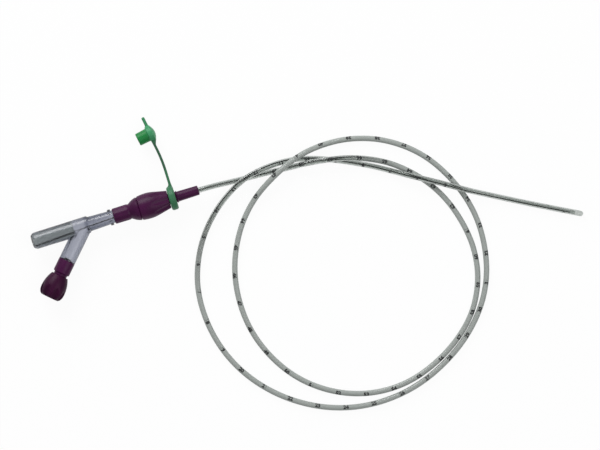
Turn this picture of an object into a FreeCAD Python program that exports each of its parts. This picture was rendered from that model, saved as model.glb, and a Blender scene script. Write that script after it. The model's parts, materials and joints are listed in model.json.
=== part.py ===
"""Infant feeding tube with its hub, tethered cap, Y connector, side port and stylet.

Millimetres, +Z up. The connectors lie along one line parallel to X, the hub's axis. Places on that
line are counted from the hub's mouth: plus towards the tube, minus towards the Y connector.
"""
import FreeCAD, Part
import math
import os
import re
import Sketcher

Vector = FreeCAD.Vector
Placement = FreeCAD.Placement
Rotation = FreeCAD.Rotation
UP = Vector(0, 0, 1)
ALONG = Vector(1, 0, 0)
ORIGIN = Vector(0, 0, 0)
FULL_TURN = 360
HALF_TURN = 180
QUARTER_TURN = 90

doc = FreeCAD.newDocument("FeedingTube")

# Driving dimensions
SIZES = {
    # Place of the hub's mouth, seen from above
    "mouth_x": 10.16,
    "axis_y": -3.8,
    # Hub body: a short barrel that narrows to its tail
    "hub_radius": 4.63,
    "hub_mouth_radius": 4.32,
    "hub_belly_length": 6.4,
    "hub_body_length": 10.9,
    "hub_tail_radius": 3.34,
    "hub_edge": 0.3,
    "hub_flute_count": 8,
    "hub_flute_radius": 1.9,
    "hub_flute_depth": 0.3,
    "hub_flute_sweep": 40.0,
    "hub_flute_lead": 7.5,
    # Hub stem: the neck that carries the ring, the retaining collar and the sleeve on the tube
    "neck_radius": 1.9,
    "collar_radius": 2.45,
    "collar_length": 0.45,
    "sleeve_root_radius": 1.84,
    "sleeve_tip_radius": 1.71,
    "sleeve_end": 22.0,
    "sleeve_bevel": 0.25,
    # Hub bores
    "socket_radius": 2.45,
    "socket_slope": 0.03,
    "socket_depth": 8.0,
    "tube_grip": 6.0,
    "tube_fit": 0.05,
    # Tube and stylet
    "tube_radius": 1.0,
    "lumen_radius": 0.6,
    "tube_tip_wall": 2.0,
    "eye_radius": 0.45,
    "eye_first": 7.0,
    "eye_spacing": 6.0,
    "stylet_radius": 0.2,
    "stylet_start": 38.7,
    "stylet_start_side": 1.3,
    "stylet_tip_short": 4.8,
    # Tethered cap: ring, strap and head
    "ring_width": 2.3,
    "ring_radius": 4.3,
    "ring_edge": 0.4,
    "ring_fit": 0.15,
    "ring_play": 0.3,
    "strap_thickness": 0.95,
    "strap_width": 2.0,
    "strap_offset": 0.45,
    "strap_root": 4.95,
    "strap_straight_end": 9.8,
    "strap_bend_radius": 55.0,
    "strap_bend_angle": 10.0,
    "head_reach": 5.05,
    "head_offset": 0.45,
    "flange_radius": 2.95,
    "flange_thickness": 1.9,
    "flange_edge": 0.3,
    "dome_height": 0.85,
    "plug_length": 4.05,
    "plug_fit": 0.06,
    "plug_bevel": 0.25,
    "plug_core_radius": 1.45,
    "plug_core_depth": 3.6,
    "foot_start": 0.6,
    "tab_reach": 6.0,
    "tab_thickness": 1.15,
    "tab_lean": 0.17,
    "tab_end_rise": 0.4,
    "floor_gap": 0.02,
    # Outlet connector: grip sleeve, waist, shoulder and male taper
    "outlet_face_gap": 0.1,
    "outlet_end": 9.64,
    "outlet_grip_radius": 2.88,
    "outlet_grip_end_radius": 2.83,
    "outlet_edge": 0.45,
    "outlet_waist_place": 3.6,
    "outlet_waist_radius": 2.65,
    "outlet_shoulder_radius": 4.28,
    "outlet_shoulder_curve": 8.0,
    "outlet_grip_front": 4.3,
    "taper_length": 4.0,
    "taper_fit": 0.1,
    "taper_bore_radius": 0.9,
    # Y connector
    "bond_gap": 0.02,
    "nose_end": 4.7,
    "nose_tip_radius": 2.15,
    "nose_root_radius": 2.65,
    "nose_root": 18.7,
    "nose_bore_radius": 1.1,
    "lug_place": 10.8,
    "lug_radius": 0.55,
    "lug_reach": 2.9,
    "branch_front": 19.1,
    "branch_front_radius": 3.1,
    "branch_rear": 40.3,
    "branch_rear_radius": 3.0,
    "branch_rear_round": 1.2,
    "branch_bore_radius": 2.1,
    "branch_bore_front": 20.6,
    "branch_bore_front_radius": 2.0,
    "branch_bore_throat": 19.4,
    "junction_place": 20.6,
    "side_angle": 46.7,
    "side_radius": 2.98,
    "side_length": 13.9,
    "side_bore_radius": 1.95,
    # Side port: bonded connector and its lobed cap
    "spigot_length": 1.2,
    "spigot_dome": 0.45,
    "port_radius": 3.0,
    "port_end": 18.9,
    "port_edge": 0.5,
    "port_neck_radius": 2.25,
    "port_nozzle_end": 25.0,
    "port_nozzle_tip_radius": 2.02,
    "port_bore_radius": 0.9,
    "port_cap_gap": 0.9,
    "port_cap_fit": 0.1,
    "port_cap_mouth_radius": 3.05,
    "port_cap_radius": 4.44,
    "port_cap_length": 8.6,
    "port_cap_belly_share": 0.69,
    "port_cap_side_rise": 0.4,
    "port_cap_end_rise": 0.16,
    "port_cap_shoulder_radius": 3.8,
    "port_cap_shoulder_length": 0.5,
    "port_cap_rim_radius": 3.2,
    "port_cap_dish_radius": 2.3,
    "port_cap_dish_depth": 0.3,
    "port_cap_floor_gap": 0.4,
    "lobe_count": 8,
    "lobe_cut_radius": 1.3,
    "lobe_cut_depth": 1.35,
    "lobe_cut_sweep": 12.0,
    "lobe_cut_lead": 1.6,
    # Filling that holds the stylet
    "anchor_rear": 39.3,
    "anchor_front": 24.5,
    "anchor_hollow": 0.5,
    "anchor_floor_radius": 0.4,
}

# How far a cutting profile runs past the solid that it cuts
OVERRUN = 1.0

sheet = doc.addObject("Spreadsheet::Sheet", "Sizes")
for row, (alias, number) in enumerate(SIZES.items(), start=1):
    sheet.set(f"A{row}", alias)
    sheet.set(f"B{row}", str(number))
    sheet.setAlias(f"B{row}", alias)
sheet.set(f"A{len(SIZES) + 1}", "overrun")
sheet.set(f"B{len(SIZES) + 1}", str(OVERRUN))
sheet.setAlias(f"B{len(SIZES) + 1}", "over_run")
doc.recompute()


def size(name):
    """The number that the sheet holds under a name."""
    return float(sheet.get(name))


def formula(words):
    """An expression on the sheet's cells: every name with an underscore is a cell."""
    return re.sub(r"[a-z]+(?:_[a-z]+)+", lambda name: "Sizes." + name.group(), words)


def number_of(words):
    """The present value of an expression on the sheet's cells."""
    return float(sheet.evalExpression(formula(words)))


def bind(item, place, words):
    item.setExpression(place, formula(words))


# Derived places, written once as expressions
RING_START = "(hub_body_length + ring_play)"
RING_END = "(hub_body_length + ring_play + ring_width)"
COLLAR_START = "(hub_body_length + 2 * ring_play + ring_width)"
COLLAR_END = "(hub_body_length + 2 * ring_play + ring_width + collar_length)"
TUBE_SEAT = "(sleeve_end - tube_grip)"
SOCKET_FLOOR_RADIUS = "(socket_radius - socket_slope * socket_depth)"
STRAP_PLACE = "((hub_body_length + ring_play + ring_width / 2) + strap_offset)"
STRAP_END_X = f"({STRAP_PLACE} - strap_bend_radius * (1 - cos(strap_bend_angle)))"
STRAP_END_Y = "(strap_straight_end + strap_bend_radius * sin(strap_bend_angle))"
HEAD_Y = f"({STRAP_END_Y} + head_reach * cos(strap_bend_angle))"
SIDE_TURN = f"({HALF_TURN} + side_angle)"
STYLET_TILT = "atan(stylet_start_side / stylet_start)"
NOSE_SLOPE = "((nose_root_radius - nose_tip_radius) / (nose_root - nose_end))"
BORE_SLOPE = "((branch_bore_radius - branch_bore_front_radius) / (branch_rear - branch_bore_front))"


def bulge_radius(chord, rise):
    """Radius of an arc over a chord with a given rise at its middle."""
    return f"((({chord}) / 2)^2 + ({rise})^2) / (2 * ({rise}))"


# Bodies, sketches and features
def origin_of(body, role):
    return next(item for item in body.Origin.OriginFeatures if item.Role == role)


def new_body(name, along="0", turn=None):
    """A body whose X axis is the hub's axis, or the side branch's if a turn is given."""
    body = doc.addObject("PartDesign::Body", name)
    body.Label = name
    body.Placement = Placement(ORIGIN, Rotation(UP, 1))
    bind(body, "Placement.Base.x", f"mouth_x + {along}")
    bind(body, "Placement.Base.y", "axis_y")
    bind(body, "Placement.Base.z", "hub_radius")
    bind(body, "Placement.Rotation.Angle", turn or "0")
    return body


def new_sketch(body, name, plane="XY_Plane", shift_x=None, shift_y=None, shift_z=None, turn=None):
    """A sketch on one of the body's origin planes, moved within it and turned about its normal."""
    sketch = body.newObject("Sketcher::SketchObject", name)
    sketch.AttachmentSupport = [(origin_of(body, plane), "")]
    sketch.MapMode = "FlatFace"
    if turn:
        sketch.AttachmentOffset = Placement(ORIGIN, Rotation(UP, 1))
        bind(sketch, "AttachmentOffset.Rotation.Angle", turn)
    for axis, shift in (("x", shift_x), ("y", shift_y), ("z", shift_z)):
        if shift:
            bind(sketch, f"AttachmentOffset.Base.{axis}", shift)
    return sketch


def arc_between(start, end, radius, left):
    """An arc from start to end whose centre lies left or right of the way from start to end."""
    chord = end - start
    height = math.sqrt(max(radius ** 2 - (chord.Length / 2) ** 2, 0))
    across = Vector(-chord.y, chord.x, 0).normalize()
    centre = (start + end) / 2 + across * (height if left else -height)
    first, last = (start, end) if left else (end, start)
    angle_first = math.atan2(first.y - centre.y, first.x - centre.x)
    angle_last = math.atan2(last.y - centre.y, last.x - centre.x)
    return Part.ArcOfCircle(Part.Circle(centre, UP, radius), angle_first, angle_last)


def hold_point(sketch, edge, end, across, up):
    """Ties one end of an edge to the sketch's origin by its two distances, or to an axis."""
    for kind, words, axis in (("DistanceX", across, -2), ("DistanceY", up, -1)):
        if words == "0":
            sketch.addConstraint(Sketcher.Constraint("PointOnObject", edge, end, axis))
        else:
            value = number_of(words)
            index = sketch.addConstraint(Sketcher.Constraint(kind, -1, 1, edge, end, value))
            bind(sketch, f"Constraints[{index}]", words)


def outline(sketch, corners):
    """A closed outline. A corner is (across, up), or (across, up, radius, side) where the edge
    that leaves it is an arc with its centre on that side."""
    points = [Vector(number_of(corner[0]), number_of(corner[1]), 0) for corner in corners]
    ends = []
    for place, corner in enumerate(corners):
        start = points[place]
        end = points[(place + 1) % len(points)]
        if len(corner) == 2:
            edge = sketch.addGeometry(Part.LineSegment(start, end))
            ends.append((edge, 1, 2))
            continue
        left = corner[3] == "left"
        edge = sketch.addGeometry(arc_between(start, end, number_of(corner[2]), left))
        ends.append((edge, 1, 2) if left else (edge, 2, 1))
    for place, (edge, _, finish) in enumerate(ends):
        follower, follower_start, _ = ends[(place + 1) % len(ends)]
        sketch.addConstraint(Sketcher.Constraint("Coincident", edge, finish, follower, follower_start))
    for (edge, start, _), corner in zip(ends, corners):
        hold_point(sketch, edge, start, corner[0], corner[1])
        if len(corner) == 4:
            radius = Sketcher.Constraint("Radius", edge, number_of(corner[2]))
            bind(sketch, f"Constraints[{sketch.addConstraint(radius)}]", corner[2])
    return sketch


def circle(sketch, across, up, radius):
    """A full circle held by its centre and radius."""
    centre = Vector(number_of(across), number_of(up), 0)
    edge = sketch.addGeometry(Part.Circle(centre, UP, number_of(radius)))
    hold_point(sketch, edge, 3, across, up)
    index = sketch.addConstraint(Sketcher.Constraint("Radius", edge, number_of(radius)))
    bind(sketch, f"Constraints[{index}]", radius)
    return sketch


def turned(body, name, sketch, kind="PartDesign::Revolution", axis="H_Axis"):
    """A full turn of a sketch about its own horizontal axis, added to the body or cut from it."""
    feature = body.newObject(kind, name)
    feature.Profile = sketch
    feature.ReferenceAxis = (sketch, [axis])
    feature.Angle = FULL_TURN
    doc.recompute()
    return feature


def bored(body, name, sketch, axis="H_Axis"):
    return turned(body, name, sketch, "PartDesign::Groove", axis)


def padded(body, name, sketch, thickness):
    """A plate of even thickness, half of it on each side of the sketch."""
    feature = body.newObject("PartDesign::Pad", name)
    feature.Profile = sketch
    feature.SideType = "Symmetric"
    bind(feature, "Length", thickness)
    doc.recompute()
    return feature


def flutes(body, name, place, floor, cut_radius, sweep, count, first_turn=None):
    """Long shallow flutes round the body's axis, each one a slice of a thin, very wide ring: the
    ring's centre stands off the axis, and its nearest point is the flute's floor at that place."""
    sketch = new_sketch(body, name + "_sketch", "YZ_Plane", shift_z=place, turn=first_turn)
    circle(sketch, f"{floor} + {cut_radius}", "0", cut_radius)
    reach = f"{floor} + {cut_radius} + {sweep}"
    top = Vector(number_of(reach), number_of(cut_radius), 0)
    edge = sketch.addGeometry(Part.LineSegment(Vector(top.x, 0, 0), top), True)
    hold_point(sketch, edge, 1, reach, "0")
    hold_point(sketch, edge, 2, reach, cut_radius)
    cut = bored(body, name + "_cut", sketch, "Axis0")
    pattern = body.newObject("PartDesign::PolarPattern", name)
    pattern.Originals = [cut]
    pattern.Axis = (origin_of(body, "X_Axis"), [""])
    pattern.Angle = FULL_TURN
    bind(pattern, "Occurrences", count)
    body.Tip = pattern
    doc.recompute()
    return pattern


# Hub: fluted barrel, then neck, collar and sleeve, then the bores from mouth to sleeve end
hub = new_body("tube_hub")
BELLY_CURVE = bulge_radius("hub_belly_length", "hub_radius - hub_mouth_radius")
turned(hub, "hub_barrel", outline(new_sketch(hub, "hub_barrel_sketch"), [
    ("0", "0"),
    ("0", "hub_mouth_radius", BELLY_CURVE, "right"),
    ("hub_belly_length", "hub_mouth_radius"),
    ("hub_body_length - hub_edge", "hub_tail_radius"),
    ("hub_body_length", "hub_tail_radius - hub_edge"),
    ("hub_body_length", "0"),
]))
HUB_FLUTE_FLOOR = "(hub_tail_radius - hub_flute_depth - hub_flute_lead^2 / (2 * hub_flute_sweep))"
flutes(hub, "hub_flutes", "hub_body_length + hub_flute_lead", HUB_FLUTE_FLOOR,
       "hub_flute_radius", "hub_flute_sweep", "hub_flute_count")
turned(hub, "hub_stem", outline(new_sketch(hub, "hub_stem_sketch"), [
    ("hub_belly_length", "0"),
    ("hub_belly_length", "neck_radius"),
    (COLLAR_START, "neck_radius"),
    (COLLAR_START, "collar_radius"),
    (COLLAR_END, "sleeve_root_radius"),
    ("sleeve_end - sleeve_bevel", "sleeve_tip_radius"),
    ("sleeve_end", "sleeve_tip_radius - sleeve_bevel"),
    ("sleeve_end", "0"),
]))
bored(hub, "hub_bores", outline(new_sketch(hub, "hub_bores_sketch"), [
    ("-over_run", "0"),
    ("-over_run", "socket_radius + socket_slope * over_run"),
    ("socket_depth", SOCKET_FLOOR_RADIUS),
    ("socket_depth", "lumen_radius"),
    (TUBE_SEAT, "lumen_radius"),
    (TUBE_SEAT, "tube_radius + tube_fit"),
    ("sleeve_end + over_run", "tube_radius + tube_fit"),
    ("sleeve_end + over_run", "0"),
]))

# Tethered cap: ring, strap with its root, then the head in the frame of the strap's end
cap = new_body("tethered_cap")
cap.Placement = Placement(ORIGIN, Rotation(ALONG, -1))
HEAD_SWING = f"sqrt({HEAD_Y}^2 + flange_radius^2)"
HEAD_DROP = f"asin((hub_radius - floor_gap) / {HEAD_SWING}) - atan(flange_radius / {HEAD_Y})"
bind(cap, "Placement.Rotation.Angle", f"-({HEAD_DROP})")
turned(cap, "cap_ring", outline(new_sketch(cap, "cap_ring_sketch"), [
    (RING_START, "neck_radius + ring_fit"),
    (RING_START, "ring_radius - ring_edge"),
    (f"{RING_START} + ring_edge", "ring_radius"),
    (f"{RING_END} - ring_edge", "ring_radius"),
    (RING_END, "ring_radius - ring_edge"),
    (RING_END, "neck_radius + ring_fit"),
]))
ROOT_DEPTH = "(neck_radius + ring_fit + ring_edge)"
HALF_STRAP = "strap_thickness / 2"
padded(cap, "cap_strap", outline(new_sketch(cap, "cap_strap_sketch"), [
    (RING_START, ROOT_DEPTH),
    (RING_END, ROOT_DEPTH),
    (RING_END, "ring_radius - ring_edge"),
    (f"{STRAP_PLACE} + {HALF_STRAP}", "strap_root"),
    (f"{STRAP_PLACE} + {HALF_STRAP}", "strap_straight_end",
     f"strap_bend_radius + {HALF_STRAP}", "left"),
    (f"{STRAP_END_X} + {HALF_STRAP} * cos(strap_bend_angle)",
     f"{STRAP_END_Y} + {HALF_STRAP} * sin(strap_bend_angle)"),
    (f"{STRAP_END_X} - {HALF_STRAP} * cos(strap_bend_angle)",
     f"{STRAP_END_Y} - {HALF_STRAP} * sin(strap_bend_angle)",
     f"strap_bend_radius - {HALF_STRAP}", "right"),
    (f"{STRAP_PLACE} - {HALF_STRAP}", "strap_straight_end"),
    (f"{STRAP_PLACE} - {HALF_STRAP}", "strap_root"),
    (RING_START, "ring_radius - ring_edge"),
]), "strap_width")


def head_sketch(name):
    """A sketch whose origin is the strap's end and whose Y axis runs on along the strap."""
    return new_sketch(cap, name, shift_x=STRAP_END_X, shift_y=STRAP_END_Y, turn="strap_bend_angle")


REAR_FACE = "(head_offset - flange_thickness / 2)"
FRONT_FACE = "(head_offset + flange_thickness / 2)"
LOW_EDGE = "(head_reach - flange_radius + flange_edge)"
HIGH_EDGE = "(head_reach + flange_radius - flange_edge)"
padded(cap, "cap_strap_foot", outline(head_sketch("cap_strap_foot_sketch"), [
    (f"-({HALF_STRAP})", "0"),
    (HALF_STRAP, "0"),
    (HALF_STRAP, "foot_start"),
    (FRONT_FACE, LOW_EDGE),
    (REAR_FACE, LOW_EDGE),
]), "strap_width")
padded(cap, "cap_tab", outline(head_sketch("cap_tab_sketch"), [
    ("head_offset + tab_thickness / 2", HIGH_EDGE),
    ("head_offset + tab_lean + tab_thickness / 2", "head_reach + tab_reach",
     bulge_radius("tab_thickness", "tab_end_rise"), "left"),
    ("head_offset + tab_lean - tab_thickness / 2", "head_reach + tab_reach"),
    ("head_offset - tab_thickness / 2", HIGH_EDGE),
]), "strap_width")
head = new_sketch(cap, "cap_head_sketch", shift_x=f"{STRAP_END_X} - head_reach * sin(strap_bend_angle)",
                  shift_y=HEAD_Y, turn="strap_bend_angle")
PLUG_ROOT_RADIUS = "(socket_radius - plug_fit)"
PLUG_TIP_RADIUS = f"({PLUG_ROOT_RADIUS} - socket_slope * plug_length)"
PLUG_END = f"({REAR_FACE} - plug_length)"
turned(cap, "cap_head", outline(head, [
    (PLUG_END, "plug_core_radius"),
    (PLUG_END, f"{PLUG_TIP_RADIUS} - plug_bevel"),
    (f"{PLUG_END} + plug_bevel", PLUG_TIP_RADIUS),
    (REAR_FACE, PLUG_ROOT_RADIUS),
    (REAR_FACE, "flange_radius - flange_edge"),
    (f"{REAR_FACE} + flange_edge", "flange_radius"),
    (f"{FRONT_FACE} - flange_edge", "flange_radius"),
    (FRONT_FACE, "flange_radius - flange_edge",
     "((flange_radius - flange_edge)^2 + dome_height^2) / (2 * dome_height)", "right"),
    (f"{FRONT_FACE} + dome_height", "0"),
    (f"{PLUG_END} + plug_core_depth", "0"),
    (f"{PLUG_END} + plug_core_depth", "plug_core_radius"),
]))

# Outlet connector: grip sleeve bonded on the nose, waist, shoulder and male taper
outlet = new_body("outlet_connector")
TAPER_ROOT_RADIUS = "(socket_radius - taper_fit)"
turned(outlet, "outlet_body", outline(new_sketch(outlet, "outlet_body_sketch"), [
    ("-outlet_end", "0"),
    ("-outlet_end", "outlet_grip_end_radius - outlet_edge", "outlet_edge", "right"),
    ("-outlet_end + outlet_edge", "outlet_grip_end_radius"),
    ("-outlet_grip_front", "outlet_grip_radius"),
    ("-outlet_waist_place", "outlet_waist_radius", "outlet_shoulder_curve", "right"),
    ("-outlet_face_gap", "outlet_shoulder_radius"),
    ("-outlet_face_gap", TAPER_ROOT_RADIUS),
    ("taper_length", f"{TAPER_ROOT_RADIUS} - socket_slope * taper_length"),
    ("taper_length", "0"),
]))
NOSE_AT_OUTLET_END = f"(nose_tip_radius + {NOSE_SLOPE} * (outlet_end - nose_end))"
bored(outlet, "outlet_bores", outline(new_sketch(outlet, "outlet_bores_sketch"), [
    ("-outlet_end - over_run", "0"),
    ("-outlet_end - over_run", f"{NOSE_AT_OUTLET_END} + bond_gap + {NOSE_SLOPE} * over_run"),
    ("-nose_end + bond_gap", "nose_tip_radius + bond_gap"),
    ("-nose_end + bond_gap", "taper_bore_radius"),
    ("taper_length + over_run", "taper_bore_radius"),
    ("taper_length + over_run", "0"),
]))

# Y connector: main branch and nose, side branch, two lugs, then its bores
y_body = new_body("y_connector")
turned(y_body, "y_main", outline(new_sketch(y_body, "y_main_sketch"), [
    ("-branch_rear", "0"),
    ("-branch_rear", "branch_rear_radius - branch_rear_round", "branch_rear_round", "right"),
    ("-branch_rear + branch_rear_round", "branch_rear_radius"),
    ("-branch_front", "branch_front_radius"),
    ("-nose_root", "nose_root_radius"),
    ("-nose_end", "nose_tip_radius"),
    ("-nose_end", "0"),
]))


def side_sketch(name):
    """A sketch whose origin is the junction and whose X axis runs along the side branch."""
    return new_sketch(y_body, name, shift_x="-junction_place", turn=SIDE_TURN)


turned(y_body, "y_side", outline(side_sketch("y_side_sketch"), [
    ("0", "0"),
    ("0", "side_radius"),
    ("side_length", "side_radius"),
    ("side_length", "0"),
]))
padded(y_body, "y_lugs", circle(new_sketch(y_body, "y_lugs_sketch", "XZ_Plane"),
                                "-lug_place", "0", "lug_radius"), "2 * lug_reach")
bored(y_body, "y_main_bore", outline(new_sketch(y_body, "y_main_bore_sketch"), [
    ("-branch_rear - over_run", "0"),
    ("-branch_rear - over_run", f"branch_bore_radius + {BORE_SLOPE} * over_run"),
    ("-branch_bore_front", "branch_bore_front_radius"),
    ("-branch_bore_throat", "nose_bore_radius"),
    ("-nose_end + over_run", "nose_bore_radius"),
    ("-nose_end + over_run", "0"),
]))
bored(y_body, "y_side_bore", outline(side_sketch("y_side_bore_sketch"), [
    ("0", "0"),
    ("0", "side_bore_radius"),
    ("side_length + over_run", "side_bore_radius"),
    ("side_length + over_run", "0"),
]))

# Side port connector: domed spigot, body, neck and nozzle, along the side branch
port = new_body("side_port_connector", "(-junction_place)", SIDE_TURN)
SPIGOT_RADIUS = "(side_bore_radius - bond_gap)"
SPIGOT_START = "(side_length - spigot_length)"
DOME_RADIUS = f"({SPIGOT_RADIUS}^2 + spigot_dome^2) / (2 * spigot_dome)"
turned(port, "port_body", outline(new_sketch(port, "port_body_sketch"), [
    (f"{SPIGOT_START} - spigot_dome", "0", DOME_RADIUS, "right"),
    (SPIGOT_START, SPIGOT_RADIUS),
    ("side_length + bond_gap", SPIGOT_RADIUS),
    ("side_length + bond_gap", "port_radius"),
    ("port_end - port_edge", "port_radius", "port_edge", "right"),
    ("port_end", "port_radius - port_edge"),
    ("port_end", "port_neck_radius"),
    ("port_nozzle_end", "port_nozzle_tip_radius"),
    ("port_nozzle_end", "0"),
]))
bored(port, "port_bore", outline(new_sketch(port, "port_bore_sketch"), [
    (f"{SPIGOT_START} - spigot_dome - over_run", "0"),
    (f"{SPIGOT_START} - spigot_dome - over_run", "port_bore_radius"),
    ("port_nozzle_end + over_run", "port_bore_radius"),
    ("port_nozzle_end + over_run", "0"),
]))

# Side port cap: lobed cup over the nozzle
port_cap = new_body("side_port_cap", "(-junction_place)", SIDE_TURN)
CAP_MOUTH = "(port_end + port_cap_gap)"
CAP_BELLY = f"({CAP_MOUTH} + port_cap_length * port_cap_belly_share)"
CAP_END = f"({CAP_MOUTH} + port_cap_length)"
CAP_SHOULDER = f"({CAP_END} - port_cap_shoulder_length)"
CAP_SIDE_CHORD = (f"sqrt(({CAP_BELLY} - {CAP_MOUTH})^2"
                  " + (port_cap_radius - port_cap_mouth_radius)^2)")
CAP_END_CHORD = (f"sqrt(({CAP_SHOULDER} - {CAP_BELLY})^2"
                 " + (port_cap_radius - port_cap_shoulder_radius)^2)")
turned(port_cap, "port_cap_body", outline(new_sketch(port_cap, "port_cap_body_sketch"), [
    (CAP_MOUTH, "0"),
    (CAP_MOUTH, "port_cap_mouth_radius", bulge_radius(CAP_SIDE_CHORD, "port_cap_side_rise"), "right"),
    (CAP_BELLY, "port_cap_radius", bulge_radius(CAP_END_CHORD, "port_cap_end_rise"), "right"),
    (CAP_SHOULDER, "port_cap_shoulder_radius"),
    (CAP_END, "port_cap_rim_radius"),
    (f"{CAP_END} - port_cap_dish_depth", "port_cap_dish_radius"),
    (f"{CAP_END} - port_cap_dish_depth", "0"),
]))
flutes(port_cap, "port_cap_lobes", f"{CAP_END} + lobe_cut_lead", "(port_cap_radius - lobe_cut_depth)",
       "lobe_cut_radius", "lobe_cut_sweep", "lobe_count", f"{HALF_TURN} / lobe_count")
NOZZLE_SLOPE = "((port_neck_radius - port_nozzle_tip_radius) / (port_nozzle_end - port_end))"
bored(port_cap, "port_cap_socket", outline(new_sketch(port_cap, "port_cap_socket_sketch"), [
    (f"{CAP_MOUTH} - over_run", "0"),
    (f"{CAP_MOUTH} - over_run",
     f"port_neck_radius + port_cap_fit + {NOZZLE_SLOPE} * (over_run - port_cap_gap)"),
    ("port_nozzle_end + port_cap_floor_gap",
     f"port_nozzle_tip_radius + port_cap_fit - {NOZZLE_SLOPE} * port_cap_floor_gap"),
    ("port_nozzle_end + port_cap_floor_gap", "0"),
]))

# Filling in the main branch, hollow at its front, with the stylet's own hole
anchor = new_body("stylet_anchor")
FRONT_BORE = f"(branch_bore_front_radius + {BORE_SLOPE} * (anchor_front - branch_bore_front) - bond_gap)"
REAR_BORE = f"(branch_bore_front_radius + {BORE_SLOPE} * (anchor_rear - branch_bore_front) - bond_gap)"
turned(anchor, "anchor_fill", outline(new_sketch(anchor, "anchor_fill_sketch"), [
    ("-anchor_rear", "0"),
    ("-anchor_rear", REAR_BORE),
    ("-anchor_front", FRONT_BORE),
    ("-anchor_front - anchor_hollow", "anchor_floor_radius"),
    ("-anchor_front - anchor_hollow", "0"),
]))
bored(anchor, "anchor_hole", outline(new_sketch(anchor, "anchor_hole_sketch", turn=STYLET_TILT), [
    ("-stylet_start - bond_gap", "0"),
    ("-stylet_start - bond_gap", "stylet_radius + bond_gap"),
    ("-anchor_front + over_run", "stylet_radius + bond_gap"),
    ("-anchor_front + over_run", "0"),
]))

# Tube and stylet. The tube's route after the hub, chosen by hand: along the hub's axis and to its
# left from the hub's mouth, and height above the floor. Humps carry it over its own crossings.
TUBE_ROUTE = [
    (35.6, -0.8, 1.3), (44.5, -1.2, 1.0), (54.7, -1.9, 1.0), (64.6, -2.5, 3.6), (76.3, -4.7, 3.6),
    (84.6, -7.9, 1.0), (91.6, -12.0, 1.0), (99.4, -19.4, 1.0), (105.2, -28.4, 1.0),
    (108.6, -38.9, 1.0), (109.8, -49.5, 1.0), (107.8, -60.9, 1.0), (101.4, -72.4, 1.0),
    (89.5, -81.9, 1.0), (74.5, -87.9, 1.0), (59.7, -88.1, 1.0), (45.9, -83.1, 1.0),
    (34.3, -73.6, 1.0), (26.6, -60.4, 1.0), (23.6, -46.8, 1.0), (25.0, -31.7, 1.0),
    (31.0, -18.6, 1.0), (38.9, -9.5, 1.0), (48.2, -3.6, 3.6), (59.0, 1.1, 3.6), (69.2, 2.5, 1.0),
    (79.7, 1.6, 1.0), (91.2, -2.6, 1.0), (102.0, -11.0, 1.0), (109.3, -22.3, 1.0),
    (113.6, -35.0, 1.0), (114.0, -47.5, 1.0), (111.2, -60.4, 1.0), (104.6, -71.8, 1.0),
    (93.1, -82.3, 1.0), (76.4, -90.2, 1.0), (58.8, -92.0, 1.0), (42.4, -88.2, 1.0),
    (27.7, -79.1, 1.0), (16.8, -66.2, 1.0), (11.0, -51.1, 1.0), (10.4, -34.3, 1.0),
    (15.8, -19.9, 1.0), (24.8, -9.0, 1.0), (36.5, -1.5, 3.7), (45.0, 0.4, 3.6), (53.7, 0.9, 1.0),
    (61.9, -0.4, 1.0), (72.3, -4.4, 1.0), (83.6, -10.1, 1.0), (90.2, -14.2, 1.4),
    (97.1, -18.5, 3.6), (104.6, -22.9, 3.8), (112.7, -28.1, 3.6), (121.0, -32.8, 1.0),
    (136.1, -41.3, 1.0), (150.4, -48.9, 1.0),
]
# The tube leaves the sleeve straight, and an arc takes this share of the shorter run beside it
EXIT_RUN = 10.0
ARC_SHARE = 0.45


def place_of(along, left, height):
    return Vector(size("mouth_x") + along, size("axis_y") + left, height)


def on_axis(along, left=0.0):
    return place_of(along, left, size("hub_radius"))


def rounded_route(points):
    """Straight runs joined by tangent arcs, as one wire, and the radii of the arcs."""
    edges = []
    radii = []
    begin = points[0]
    for before, corner, after in zip(points, points[1:], points[2:]):
        way_in = (corner - before).normalize()
        way_out = (after - corner).normalize()
        trim = ARC_SHARE * min(corner.distanceToPoint(before), after.distanceToPoint(corner))
        half_turn = way_in.getAngle(way_out) / 2
        radius = trim / math.tan(half_turn)
        arc_start = corner - way_in * trim
        arc_end = corner + way_out * trim
        inward = (way_out - way_in).normalize()
        arc_middle = corner + inward * (radius / math.cos(half_turn) - radius)
        edges.append(Part.LineSegment(begin, arc_start).toShape())
        edges.append(Part.Arc(arc_start, arc_middle, arc_end).toShape())
        radii.append(radius)
        begin = arc_end
    edges.append(Part.LineSegment(begin, points[-1]).toShape())
    return Part.Wire(edges), radii


def swept(points, radius):
    """A round bar of one radius along a route."""
    wire, radii = rounded_route(points)
    way = (points[1] - points[0]).normalize()
    section = Part.Face(Part.Wire(Part.makeCircle(radius, points[0], way)))
    return wire.makePipe(section), wire, radii


def moved_back(points, distance):
    """The same route with its last point drawn back along the last run."""
    way = (points[-1] - points[-2]).normalize()
    return points[:-1] + [points[-1] - way * distance]


def solid_feature(name, shape):
    feature = doc.addObject("Part::Feature", name)
    feature.Label = name
    feature.Shape = shape
    feature.Placement = Placement()
    return feature


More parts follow.
